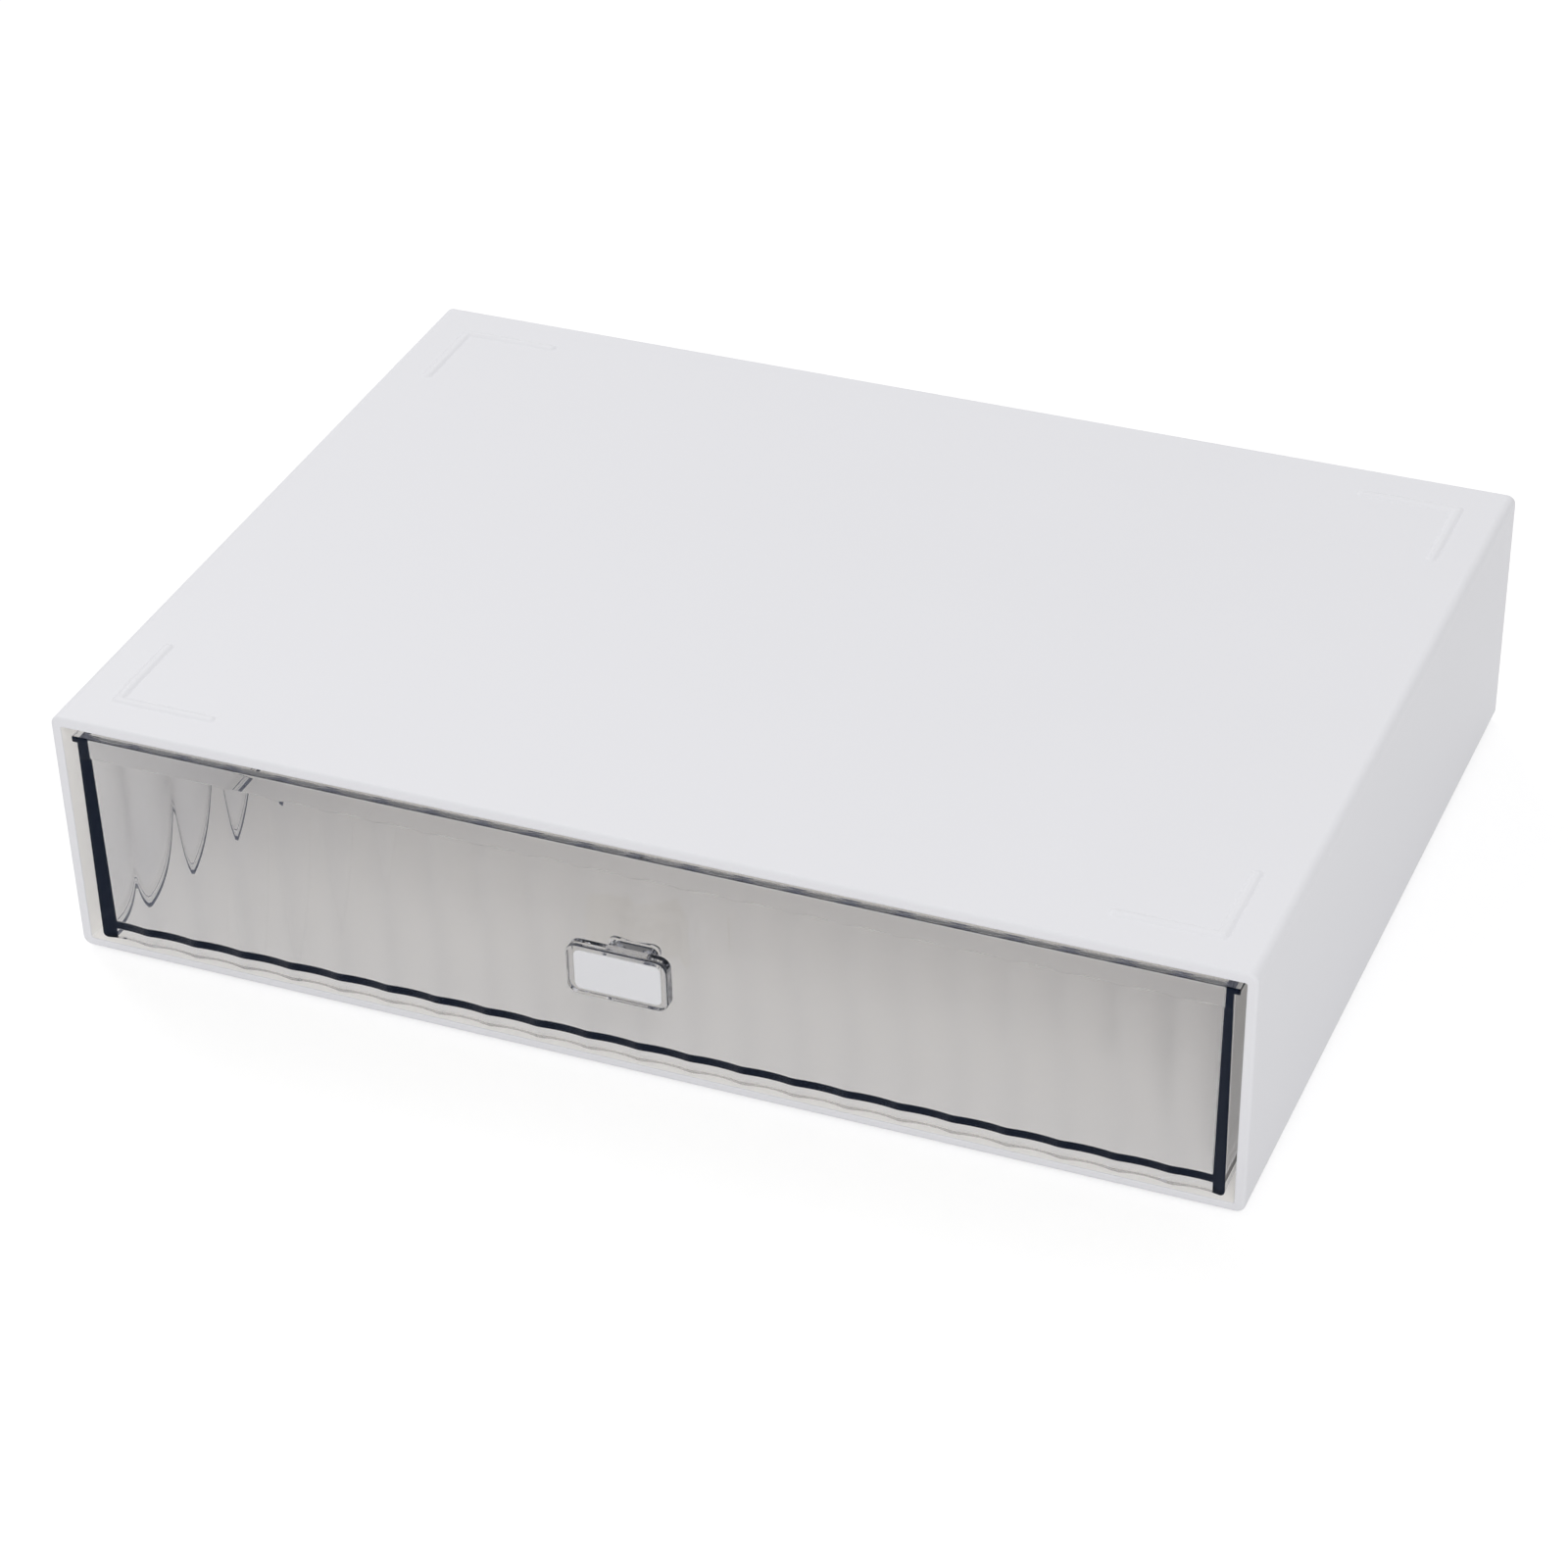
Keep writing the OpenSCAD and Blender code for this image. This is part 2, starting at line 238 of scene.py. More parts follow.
class CardLook(bpy.types.PropertyGroup):
    """Size and colour of the label card."""

    corner: length("Corners", "Radius of the card's corners", 0.0016)
    edge_round: length("Edges", "Radius of the card's cut edges", 0.00008)
    paper: tint("Paper", "Colour of the paper", (0.84, 0.84, 0.86))
    fibre: length("Fibre size", "Size of the paper's fibres", 0.0005)


class PadLook(bpy.types.PropertyGroup):
    """Shape and colour of the foot pads."""

    edge_round: length("Edge", "Radius of a pad's lower edge", 0.0004)
    dish: length("Dish", "Depth of the shallow dish in a pad's face", 0.00015)
    gap: length("Seat gap", "Gap round a pad in its seat", 0.0002)
    grain: length("Grain size", "Size of the rubber's grain", 0.0005)
    rubber: tint("Rubber", "Colour of the rubber", (0.52, 0.52, 0.54))


class StudioLook(bpy.types.PropertyGroup):
    """Light, floor and camera."""

    dome: amount("Dome light", "Strength of the even light from all round", 0.61)
    key: power("Front lamp", "Power of the lamp at the front right", 12.8)
    fill: power("Top lamp", "Power of the high lamp at the back left", 62.0)
    floor: tint("Floor", "Colour of the floor", (0.90, 0.90, 0.90))
    lens: FloatProperty(
        name="Lens", description="Focal length of the camera", default=104.91, unit="CAMERA"
    )
    bounces: count("Bounces", "Light bounces, so that clear walls stay clear", 24)
    mirror_keep: amount("Mirror share", "Light of the studio left after each mirror inside plastic", 0.17)


# ---- Modelling helpers


def take(piece):
    """Makes piece the only selected and active object."""
    bpy.ops.object.select_all(action="DESELECT")
    piece.select_set(True)
    bpy.context.view_layer.objects.active = piece


def placed(name):
    """Names the object that was just made, and moves its place, turn and size into its mesh."""
    piece = bpy.context.object
    piece.name = name
    bpy.ops.object.transform_apply(location=True, rotation=True, scale=True)
    return piece


def block(name, low, high):
    """A new block between two corners, with its place in its mesh."""
    low = Vector(low)
    high = Vector(high)
    bpy.ops.object.select_all(action="DESELECT")
    bpy.ops.mesh.primitive_cube_add(size=1, location=(low + high) / 2, scale=high - low)
    return placed(name)


def rod(name, radius, start, stop, sides=48):
    """A new round rod between two points that lie on one axis, with its place in its mesh."""
    start = Vector(start)
    stop = Vector(stop)
    along = stop - start
    turn = UP.rotation_difference(along).to_euler()
    bpy.ops.object.select_all(action="DESELECT")
    bpy.ops.mesh.primitive_cylinder_add(
        vertices=sides, radius=radius, depth=along.length, location=(start + stop) / 2, rotation=turn
    )
    return placed(name)


def pick_faces(piece, test):
    """Opens piece in edit mode with only the faces selected whose middle and normal pass test."""
    take(piece)
    bpy.ops.object.mode_set(mode="EDIT")
    bpy.ops.mesh.select_mode(type="FACE")
    bpy.ops.mesh.select_all(action="DESELECT")
    shape = bmesh.from_edit_mesh(piece.data)
    for face in shape.faces:
        face.select_set(bool(test(face.calc_center_median(), face.normal)))
    bmesh.update_edit_mesh(piece.data)


def pick_edges(piece, test):
    """Opens piece in edit mode with only the edges selected whose two ends pass test."""
    take(piece)
    bpy.ops.object.mode_set(mode="EDIT")
    bpy.ops.mesh.select_mode(type="EDGE")
    bpy.ops.mesh.select_all(action="DESELECT")
    shape = bmesh.from_edit_mesh(piece.data)
    for edge in shape.edges:
        edge.select_set(bool(test(edge.verts[0].co, edge.verts[1].co)))
    bmesh.update_edit_mesh(piece.data)


def close_edit():
    """Back to object mode."""
    bpy.ops.object.mode_set(mode="OBJECT")


def picked_box(piece):
    """Lowest and highest corner of what is selected in edit mode."""
    shape = bmesh.from_edit_mesh(piece.data)
    places = [vert.co for vert in shape.verts if vert.select]
    low = Vector([min(place[i] for place in places) for i in (X, Y, Z)])
    high = Vector([max(place[i] for place in places) for i in (X, Y, Z)])
    return low, high


def grow_picked(piece, growth):
    """Widens what is selected in edit mode by growth in metres on each side, about its middle."""
    low, high = picked_box(piece)
    size = high - low
    factors = [1 + 2 * growth[i] / size[i] if size[i] > NEAR else 1 for i in (X, Y, Z)]
    bpy.ops.transform.resize(value=factors, center_override=(low + high) / 2)


def grow_face(piece, direction, growth):
    """Widens the faces that look in one direction by growth in metres on each side."""
    pick_faces(piece, lambda middle, normal: normal.dot(direction) > PARALLEL)
    grow_picked(piece, growth)
    close_edit()


def round_edges(piece, test, radius, steps):
    """Rounds the edges whose two ends pass test."""
    pick_edges(piece, test)
    bpy.ops.mesh.bevel(offset=radius, segments=steps, affect="EDGES", profile=0.5, clamp_overlap=True)
    close_edit()


def both_at(axis, place):
    """A test for edges that lie in a plane across one axis."""
    return lambda a, b: abs(a[axis] - place) < NEAR and abs(b[axis] - place) < NEAR


def runs_along(axis):
    """A test for edges that run along one axis, give or take a few degrees."""
    return lambda a, b: abs((b - a).normalized()[axis]) > PARALLEL


def stands(a, b):
    """True for an edge that stands upright, also one that leans a little."""
    return abs((b - a).normalized().z) > STEEP


def both(first, second):
    """A test for edges that pass two tests."""
    return lambda a, b: first(a, b) and second(a, b)


def flare(piece, direction, radius, steps):
    """Opens the end of a cutting block that looks in direction, so that it leaves a rounded lip."""
    pick_faces(piece, lambda middle, normal: normal.dot(direction) > PARALLEL)
    turned = [math.pi / 2 * i / steps for i in range(steps + 1)]
    for before, after in zip(turned, turned[1:]):
        forward = radius * (math.sin(after) - math.sin(before))
        outward = radius * (math.cos(before) - math.cos(after))
        bpy.ops.mesh.extrude_region_move(TRANSFORM_OT_translate={"value": direction * forward})
        grow_picked(piece, (outward, outward, outward))
    bpy.ops.mesh.extrude_region_move(TRANSFORM_OT_translate={"value": direction * PAST})
    close_edit()


def use_modifier(piece, kind, **settings):
    """Adds a modifier to piece and applies it."""
    take(piece)
    bpy.ops.object.modifier_add(type=kind)
    step = piece.modifiers[-1]
    for name, value in settings.items():
        setattr(step, name, value)
    bpy.ops.object.modifier_apply(modifier=step.name)


def combine(piece, tool, operation):
    """Joins tool to piece or cuts piece with it, and removes tool."""
    use_modifier(piece, "BOOLEAN", operation=operation, object=tool, solver="EXACT")
    bpy.data.objects.remove(tool)


def copy_turned(piece, name, turn, move):
    """A copy of piece with its own mesh, turned about Z at the origin and then moved."""
    take(piece)
    bpy.ops.object.duplicate()
    twin = bpy.context.object
    twin.rotation_euler.z = turn
    twin.location = move
    return placed(name)


def rounded_slab(name, low, high, corner, axis, steps):
    """A block whose corners are rounded about one axis."""
    piece = block(name, low, high)
    round_edges(piece, runs_along(axis), corner, steps)
    return piece


def finish(piece, node, body, material):
    """Cleans and shades a finished piece, gives it its material and ties it to the frame."""
    take(piece)
    bpy.ops.object.mode_set(mode="EDIT")
    bpy.ops.mesh.select_all(action="SELECT")
    bpy.ops.mesh.remove_doubles(threshold=MERGE)
    bpy.ops.mesh.normals_make_consistent(inside=False)
    close_edit()
    bpy.ops.object.shade_smooth_by_angle(angle=SOFT_ANGLE)
    use_modifier(piece, "WEIGHTED_NORMAL", mode="FACE_AREA", weight=50, keep_sharp=True)
    piece.data.materials.clear()
    piece.data.materials.append(material)
    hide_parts(node)
    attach(piece, body)
    bpy.ops.object.select_all(action="DESELECT")


# ---- Material helpers


def add_node(tree, kind, sockets=None, **settings):
    """Adds a shader node, and sets or links its sockets by name or place."""
    fresh = tree.nodes.new(kind)
    for name, value in settings.items():
        setattr(fresh, name, value)
    for name, value in (sockets or {}).items():
        socket = fresh.inputs[name]
        if isinstance(value, bpy.types.NodeSocket):
            tree.links.new(value, socket)
        else:
            socket.default_value = value
    return fresh


def calc(tree, operation, first, second):
    """The result of a Math node."""
    return add_node(tree, "ShaderNodeMath", {0: first, 1: second}, operation=operation).outputs[0]


def blended(tree, factor, first, second, blend_type="MIX"):
    """The colour of a Mix node."""
    mixed = add_node(
        tree, "ShaderNodeMix", {0: factor, 6: first, 7: second}, data_type="RGBA", blend_type=blend_type
    )
    return mixed.outputs[2]


def new_material(name):
    """A fresh material with its node tree and its main shader."""
    material = bpy.data.materials.new(name)
    material.use_nodes = True
    tree = material.node_tree
    return material, tree, tree.nodes["Principled BSDF"]


def opaque(colour):
    """A colour as the four numbers that a colour socket takes."""
    return (colour[0], colour[1], colour[2], 1.0)


def fine_grain_group():
    """Node group for plastic, paper and rubber: a fine grain with a slow drift in shade and gloss."""
    name = "fine_grain"
    if name in bpy.data.node_groups:
        return bpy.data.node_groups[name]
    group = bpy.data.node_groups.new(name, "ShaderNodeTree")
    for socket in ("Grain per metre", "Drift per metre", "Shade drift", "Roughness", "Roughness drift"):
        group.interface.new_socket(name=socket, in_out="INPUT", socket_type="NodeSocketFloat")
    for socket in ("Shade", "Roughness", "Height"):
        group.interface.new_socket(name=socket, in_out="OUTPUT", socket_type="NodeSocketFloat")
    way_in = group.nodes.new("NodeGroupInput").outputs
    way_out = group.nodes.new("NodeGroupOutput").inputs
    place = group.nodes.new("ShaderNodeTexCoord").outputs["Object"]
    grain = add_node(
        group,
        "ShaderNodeTexNoise",
        {"Vector": place, "Scale": way_in["Grain per metre"], "Detail": 2.0, "Roughness": 0.55},
    ).outputs["Fac"]
    drift = add_node(
        group,
        "ShaderNodeTexNoise",
        {"Vector": place, "Scale": way_in["Drift per metre"], "Detail": 3.0, "Roughness": 0.5},
    ).outputs["Fac"]
    drift = calc(group, "SUBTRACT", drift, NOISE_MIDDLE)
    speck = calc(group, "SUBTRACT", grain, NOISE_MIDDLE)
    slow = calc(group, "MULTIPLY", drift, way_in["Shade drift"])
    fast = calc(group, "MULTIPLY", speck, calc(group, "MULTIPLY", way_in["Shade drift"], SPECK_SHARE))
    shade = calc(group, "ADD", 1.0, calc(group, "ADD", slow, fast))
    gloss = calc(group, "MULTIPLY", calc(group, "ADD", drift, speck), way_in["Roughness drift"])
    gloss = calc(group, "ADD", way_in["Roughness"], gloss)
    group.links.new(shade, way_out["Shade"])
    group.links.new(gloss, way_out["Roughness"])
    group.links.new(grain, way_out["Height"])
    return group


def grained(tree, shader, colour, grain, shade_drift, roughness, roughness_drift, bump):
    """Gives a shader a finely pitted surface whose shade and gloss drift a little."""
    group = add_node(tree, "ShaderNodeGroup", node_tree=fine_grain_group())
    group.inputs["Grain per metre"].default_value = 1 / grain
    group.inputs["Drift per metre"].default_value = DRIFT_PER_METRE
    group.inputs["Shade drift"].default_value = shade_drift
    group.inputs["Roughness"].default_value = roughness
    group.inputs["Roughness drift"].default_value = roughness_drift
    channels = {channel: group.outputs["Shade"] for channel in ("Red", "Green", "Blue")}
    shade = add_node(tree, "ShaderNodeCombineColor", channels).outputs[0]
    tree.links.new(blended(tree, 1.0, colour, shade, "MULTIPLY"), shader.inputs["Base Color"])
    tree.links.new(group.outputs["Roughness"], shader.inputs["Roughness"])
    bumped = add_node(
        tree, "ShaderNodeBump", {"Height": group.outputs["Height"], "Distance": bump, "Strength": 1.0}
    )
    tree.links.new(bumped.outputs["Normal"], shader.inputs["Normal"])


def white_case_plastic(look):
    """Matte white moulded plastic whose inside faces are painted lighter and warmer, with a faint painted
    glow, in place of the light that its thin walls let through.
    """
    material, tree, shader = new_material("white_case_plastic")
    place = add_node(tree, "ShaderNodeTexCoord").outputs["Object"]
    parts = add_node(tree, "ShaderNodeSeparateXYZ", {0: place}).outputs
    side = calc(tree, "ABSOLUTE", parts["X"], 0.0)
    # Mask of the faces inside the sleeve, where a lighter, warmer white and a faint glow are painted
    painted_inside_mask = calc(tree, "LESS_THAN", side, CASE_HIGH.x - look.side_wall + 2 * SKIN)
    for part, limit, way in (
        (parts["Z"], look.floor_wall - SKIN, "GREATER_THAN"),
        (parts["Z"], CASE_HIGH.z - look.ridge_height - look.roof_wall + SKIN, "LESS_THAN"),
        (parts["Y"], CASE_HIGH.y - look.back_wall + SKIN, "LESS_THAN"),
        (parts["Y"], CASE_LOW.y + look.lip_round, "GREATER_THAN"),
    ):
        painted_inside_mask = calc(tree, "MULTIPLY", painted_inside_mask, calc(tree, way, part, limit))
    # The inside faces take the painted lighter, warmer white, the outside faces the plain white
    colour = blended(tree, painted_inside_mask, opaque(look.outside), opaque(look.inside))
    grained(
        tree,
        shader,
        colour,
        look.grain,
        shade_drift=0.03,
        roughness=0.52,
        roughness_drift=0.16,
        bump=0.000006,
    )
    shader.inputs["IOR"].default_value = CASE_IOR
    # Painted glow on the inside faces, in place of the light that the thin walls let through
    painted_glow_colour = blended(tree, painted_inside_mask, BLACK, opaque(look.inside))
    tree.links.new(painted_glow_colour, shader.inputs["Emission Color"])
    shader.inputs["Emission Strength"].default_value = look.painted_glow_strength
    return material


def clear_polystyrene(name, look):
    """Clear glossy plastic, which lets the lamps light what it holds; its deep navy edges come partly
    from its absorption and partly from a painted navy shade on its mirrors.
    """
    material, tree, shader = new_material(name)
    shader.inputs["Base Color"].default_value = WHITE
    shader.inputs["IOR"].default_value = CLEAR_IOR
    shader.inputs["Transmission Weight"].default_value = 1.0
    # Painted shade: a dark navy tint on every mirror of the clear plastic, which darkens its edges
    shader.inputs["Specular Tint"].default_value = opaque(look.painted_mirror_shade)
    place = add_node(tree, "ShaderNodeTexCoord").outputs["Object"]
    scuffs = add_node(
        tree,
        "ShaderNodeTexNoise",
        {"Vector": place, "Scale": SCUFFS_PER_METRE, "Detail": 4.0, "Roughness": 0.6},
    ).outputs["Fac"]
    worn = add_node(
        tree,
        "ShaderNodeMapRange",
        {"Value": scuffs, "From Min": 0.45, "From Max": 0.8, "To Min": 0.0, "To Max": SCUFF_ROUGHNESS},
    ).outputs["Result"]
    tree.links.new(worn, shader.inputs["Roughness"])
    sink = add_node(
        tree, "ShaderNodeTexNoise", {"Vector": place, "Scale": SINKS_PER_METRE, "Detail": 1.0}
    ).outputs["Fac"]
    soft = add_node(tree, "ShaderNodeBump", {"Height": sink, "Distance": SINK_DEPTH, "Strength": 1.0})
    tree.links.new(soft.outputs["Normal"], shader.inputs["Normal"])
    output = tree.nodes["Material Output"]
    absorb = add_node(
        tree, "ShaderNodeVolumeAbsorption", {"Color": opaque(look.glow), "Density": look.depth}
    )
    tree.links.new(absorb.outputs[0], output.inputs["Volume"])
    path = add_node(tree, "ShaderNodeLightPath").outputs
    lamp = calc(tree, "MAXIMUM", path["Is Shadow Ray"], path["Is Diffuse Ray"])
    passing = add_node(tree, "ShaderNodeBsdfTransparent", {"Color": WHITE}).outputs[0]
    surface = add_node(tree, "ShaderNodeMixShader", {0: lamp, 1: shader.outputs[0], 2: passing})
    tree.links.new(surface.outputs[0], output.inputs["Surface"])
    return material


def card_paper(look):
    """Plain white card with short fibres."""
    material, tree, shader = new_material("card_paper")
    grained(
        tree,
        shader,
        opaque(look.paper),
        look.fibre,
        shade_drift=0.05,
        roughness=0.8,
        roughness_drift=0.1,
        bump=0.00001,
    )
    return material


def pad_rubber(look):
    """Soft pale rubber."""
    material, tree, shader = new_material("pad_rubber")
    grained(
        tree,
        shader,
        opaque(look.rubber),
        look.grain,
        shade_drift=0.08,
        roughness=0.7,
        roughness_drift=0.15,
        bump=0.00002,
    )
    return material


def studio_rays(tree, look):
    """Marks the rays that show the studio, and dims it at each mirror inside the clear plastic."""
    path = add_node(tree, "ShaderNodeLightPath").outputs
    seen = calc(tree, "MAXIMUM", path["Is Camera Ray"], path["Is Glossy Ray"])
    seen = calc(tree, "MAXIMUM", seen, path["Is Transmission Ray"])
    inside = calc(tree, "GREATER_THAN", path["Transmission Depth"], 0.5)
    mirrors = calc(tree, "MULTIPLY", path["Glossy Depth"], inside)
    return seen, calc(tree, "POWER", look.mirror_keep, mirrors)


def studio_floor(look):
    """Pale floor that looks white and keeps a soft shadow."""
    material, tree, shader = new_material("studio_floor")
    shader.inputs["Base Color"].default_value = opaque(look.floor)
    shader.inputs["Roughness"].default_value = 0.9
    shader.inputs["Specular IOR Level"].default_value = 0.0
    seen, share = studio_rays(tree, look)
    matt = calc(tree, "MULTIPLY", share, FLOOR_MATT)
    pale = add_node(tree, "ShaderNodeBsdfDiffuse", {"Color": matt}).outputs[0]
    glow = calc(tree, "MULTIPLY", share, FLOOR_GLOW)
    bright = add_node(tree, "ShaderNodeEmission", {"Color": WHITE, "Strength": glow}).outputs[0]
    shown = add_node(tree, "ShaderNodeAddShader", {0: pale, 1: bright}).outputs[0]
    surface = add_node(tree, "ShaderNodeMixShader", {0: seen, 1: shader.outputs[0], 2: shown})
    tree.links.new(surface.outputs[0], tree.nodes["Material Output"].inputs["Surface"])
    return material


# ---- The pieces


def case_inner_half(look, z):
    """Half width of the inside of the sleeve at height z."""
    roof = CASE_HIGH.z - look.ridge_height
    return CASE_HIGH.x - look.lean * (roof - z) / roof - look.side_wall


def stacking_ridge(look, roof):
    """One soft L-shaped ridge with its outer corner at the origin and its legs along -X and -Y."""
    foot = roof - PAST
    buried = 0.00005  # how far the rounding starts below the roof's surface
    top = roof - buried
    ridge = block("ridge", (-look.ridge_leg, -look.ridge_width, foot), (0, 0, top))
    leg = block("ridge_leg", (-look.ridge_width, -look.ridge_leg, foot), (0, 0, top))
    combine(ridge, leg, "UNION")
    inner = Vector((-look.ridge_width, -look.ridge_width))
    outer = both(runs_along(Z), lambda a, b: (a.xy - inner).length > NEAR)
    round_edges(ridge, outer, look.ridge_width * RIDGE_CORNER, steps=6)
    pick_faces(ridge, lambda middle, normal: normal.z > PARALLEL)
    height = look.ridge_height + buried
    for inward, rise in RIDGE_STEPS:
        bpy.ops.mesh.inset(thickness=look.ridge_width * inward, depth=height * rise, use_boundary=True)
    close_edit()
    return ridge


def roof_stop(look, roof_inside, side):
    """One wedge under the roof that the drawer's tab clicks past."""
    front = CASE_LOW.y + look.stop_front
    low = (side - look.stop_width / 2, front, roof_inside - look.stop_depth)
    high = (side + look.stop_width / 2, front + look.stop_length, roof_inside + PAST)
    stop = block("roof_stop", low, high)
    pick_edges(stop, both(both_at(Y, front), both_at(Z, low[Z])))
    bpy.ops.transform.translate(value=(0, look.stop_length / 2, 0))
    close_edit()
    round_edges(stop, both_at(Z, low[Z]), look.stop_round, steps=2)
    return stop


def case_block(look, roof):
    """The outside of the sleeve without its ridges, solid."""
    shell = block("case_shell", (CASE_LOW.x, CASE_LOW.y, 0), (CASE_HIGH.x, CASE_HIGH.y, roof))
    grow_face(shell, DOWN, (-look.lean, 0, 0))
    round_edges(shell, runs_along(Y), look.edge_round, steps=8)
    round_edges(shell, both_at(Y, CASE_LOW.y), look.rim_round, steps=5)
    round_edges(shell, both_at(Y, CASE_HIGH.y), look.back_round, steps=4)
    return shell


def case_cavity(look, roof_inside):
    """What is cut out of the sleeve from the front, with a rounded lip."""
    back_inside = CASE_HIGH.y - look.back_wall
    foot_half = case_inner_half(look, look.floor_wall)
    top_half = case_inner_half(look, roof_inside)
    cavity = block(
        "cavity",
        (-foot_half, CASE_LOW.y + look.lip_round, look.floor_wall),
        (foot_half, back_inside, roof_inside),
    )
    grow_face(cavity, UP, (top_half - foot_half, 0, 0))
    round_edges(cavity, both_at(Y, back_inside), look.corner_round, steps=3)
    round_edges(cavity, runs_along(Y), look.corner_round, steps=3)
    flare(cavity, FRONT, look.lip_round, steps=4)
    return cavity


def pad_seat(node, gap):
    """The round hole under the sleeve that a pad is stuck into."""
    low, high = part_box(node)
    middle = (low + high) / 2
    radius = (high.x - low.x) / 2 + gap
    return rod("seat", radius, (middle.x, middle.y, -PAST), (middle.x, middle.y, high.z))


def model_case(look, pads):
    """The white sleeve with its ridges, stops and pad seats."""
    roof = CASE_HIGH.z - look.ridge_height
    roof_inside = roof - look.roof_wall
    shell = case_block(look, roof)
    combine(shell, case_cavity(look, roof_inside), "DIFFERENCE")
    for side in SIDES:
        combine(shell, roof_stop(look, roof_inside, side * look.stop_side), "UNION")
    ridge = stacking_ridge(look, roof)
    corner = Vector((CASE_HIGH.x - look.ridge_inset, CASE_HIGH.y - look.ridge_inset, 0))
    for quarter, (sx, sy) in enumerate(((1, 1), (-1, 1), (-1, -1), (1, -1))):
        place = (sx * corner.x, sy * corner.y, 0)
        combine(shell, copy_turned(ridge, "ridge_copy", quarter * math.pi / 2, place), "UNION")
    bpy.data.objects.remove(ridge)
    for node in PAD_NODES:
        combine(shell, pad_seat(node, pads.gap), "DIFFERENCE")
    return shell


def flute_cut(look, x, half):
    """How deep the flutes cut at x: shallow arches with a rounded ridge where two of them meet."""
    pitch = 2 * half / look.flutes
    from_middle = abs(((x + half) / pitch) % 1 - 0.5) * pitch
    arch_half = pitch / 2 - look.flute_ridge
    bend = 4 * (look.flute_depth - look.flute_setback) / (arch_half * pitch)
    if abs(x) >= half:
        return 0.0
    if from_middle < arch_half:
        return look.flute_depth - look.flute_setback - bend * from_middle**2 / 2
    return bend * arch_half * (pitch / 2 - from_middle) ** 2 / (2 * look.flute_ridge)


def flute_cutter(look, half, middle_z):
    """What is cut out of the drawer's front: a slab with a row of arches, but not the pull's seat."""
    front = TRAY_LOW.y
    steps_per_flute = 20
    low = (-half, front - PAST, TRAY_LOW.z - PAST)
    high = (half, front, look.rim - look.plain_band)
    cutter = block("flute_cutter", low, high)
    for cuts in (look.flutes - 1, steps_per_flute - 1):
        pick_edges(cutter, runs_along(X))
        bpy.ops.mesh.subdivide(number_cuts=cuts)
        close_edit()
    for vert in cutter.data.vertices:
        if abs(vert.co.y - front) < NEAR:
            vert.co.y += look.flute_setback + flute_cut(look, vert.co.x, half)
    grow_ends(cutter, half)
    flute_tops = both(both_at(Z, high[Z]), lambda a, b: min(a.y, b.y) > front)
    round_edges(cutter, flute_tops, look.flute_end, steps=4)
    seat = rounded_slab(
        "seat",
        (-look.seat_width / 2, front - 2 * PAST, middle_z - look.seat_height / 2),
        (look.seat_width / 2, front + look.panel / 2, middle_z + look.seat_height / 2),
        look.seat_corner,
        axis=Y,
        steps=6,
    )
    combine(cutter, seat, "DIFFERENCE")
    return cutter


def grow_ends(cutter, half):
    """Runs the two ends of the flute cutter past the drawer's sides."""
    for way in SIDES:
        pick_faces(cutter, lambda middle, normal: abs(middle.x - way * half) < NEAR)
        bpy.ops.transform.translate(value=(way * PAST, 0, 0))
        close_edit()


def drawer_block(look, rim_half):
    """The outside of the drawer with the flange round its rim, solid."""
    front = TRAY_LOW.y
    back = TRAY_HIGH.y
    bottom = TRAY_LOW.z
    flange_foot = look.rim - look.flange
    tray = block("clear_drawer", (-rim_half, front, bottom), (rim_half, back, look.rim - look.flange / 2))
    grow_face(tray, DOWN, (-look.lean, 0, 0))
    round_edges(tray, both(runs_along(Y), both_at(Z, bottom)), look.runner_round, steps=6)
    back_edges = both(both_at(Y, back), lambda a, b: min(a.z, b.z) < flange_foot)
    round_edges(tray, back_edges, look.edge_round, steps=3)
    round_edges(tray, both(both_at(Y, front), stands), look.edge_round, steps=3)
    flange = block("flange", (-TRAY_HIGH.x, front, flange_foot), (TRAY_HIGH.x, back, look.rim))
    round_edges(flange, lambda a, b: True, look.edge_round, steps=3)
    combine(tray, flange, "UNION")
    return tray


def drawer_hollow(look, rim_half):
    """What is cut out of the drawer from above: side walls that thin towards a rounded lip."""
    floor_top = TRAY_LOW.z + look.runner + look.floor
    foot_lean = look.lean * (1 - look.runner / (look.rim - TRAY_LOW.z))
    foot_half = rim_half - foot_lean - look.wall_foot
    hollow = block(
        "hollow",
        (-foot_half, TRAY_LOW.y + look.panel, floor_top),
        (foot_half, TRAY_HIGH.y - look.back, look.rim - look.edge_round),
    )
    grow_face(hollow, UP, (rim_half - look.wall - foot_half, 0, 0))
    round_edges(hollow, stands, look.inner_round, steps=4)
    round_edges(hollow, both_at(Z, floor_top), look.inner_round, steps=4)
    flare(hollow, UP, look.edge_round, steps=3)
    return hollow


def drawer_pocket(look, rim_half):
    """What is cut out of the drawer from below, between its runners."""
    half = rim_half - look.lean - look.wall_foot
    floor_under = TRAY_LOW.z + look.runner
    pocket = block(
        "pocket",
        (-half, TRAY_LOW.y + look.panel, TRAY_LOW.z - PAST),
        (half, TRAY_HIGH.y - look.back, floor_under),
    )
    round_edges(pocket, both_at(Z, floor_under), look.inner_round / 2, steps=3)
    return pocket


